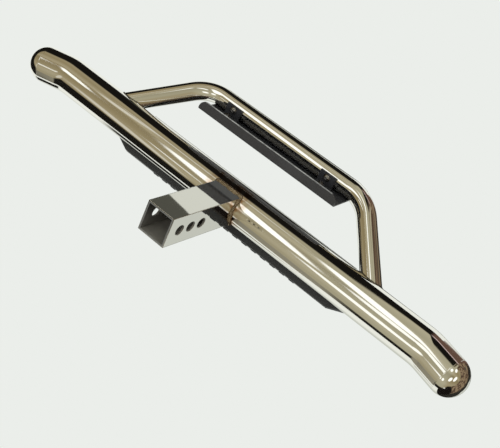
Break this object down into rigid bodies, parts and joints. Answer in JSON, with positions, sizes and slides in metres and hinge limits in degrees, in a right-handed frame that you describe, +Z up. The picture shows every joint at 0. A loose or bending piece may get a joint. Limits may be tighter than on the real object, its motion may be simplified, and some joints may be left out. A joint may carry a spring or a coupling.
{
  "type": "hitch receiver step",
  "caption": "Polished round-bar step on a square hitch shank, with a ribbed tread and a lower bent hoop that carries a folded tread plate.",
  "frame": {"origin": "centre of the middle pin hole, on the shank's axis", "axes": "+X across the vehicle along the main tube, +Y along the shank into the receiver, +Z up with the treads facing up"},
  "size_m": [0.9236, 0.3006, 0.165],
  "materials": {
    "polished_tube": "mirror polished stainless tube",
    "polished_hoop": "mirror polished stainless tube",
    "polished_shank": "polished square tube, slightly duller",
    "weld_bead": "dressed weld bead",
    "tread_plastic": "black moulded tread, satin",
    "plate_coat": "black powder coat, fine texture",
    "fastener_zinc": "bright plated"
  },
  "bodies": {
    "root": {"main_tube": "polished_tube", "left_end_cap": "polished_tube", "right_end_cap": "polished_tube", "shank": "polished_shank", "shank_weld": "weld_bead", "hoop_tube": "polished_hoop", "hoop_weld_left": "weld_bead", "hoop_weld_right": "weld_bead", "main_tread": "tread_plastic", "main_tread_screws": "fastener_zinc", "main_tread_rivet_nuts": "fastener_zinc", "hoop_tread": "plate_coat", "bracket_left": "plate_coat", "bracket_right": "plate_coat", "hoop_bolts": "fastener_zinc", "hoop_bolt_washers": "fastener_zinc", "hoop_rivet_nuts": "fastener_zinc", "plate_bolts": "fastener_zinc", "plate_washers": "fastener_zinc", "plate_nuts": "fastener_zinc"}
  },
  "joints": []
}
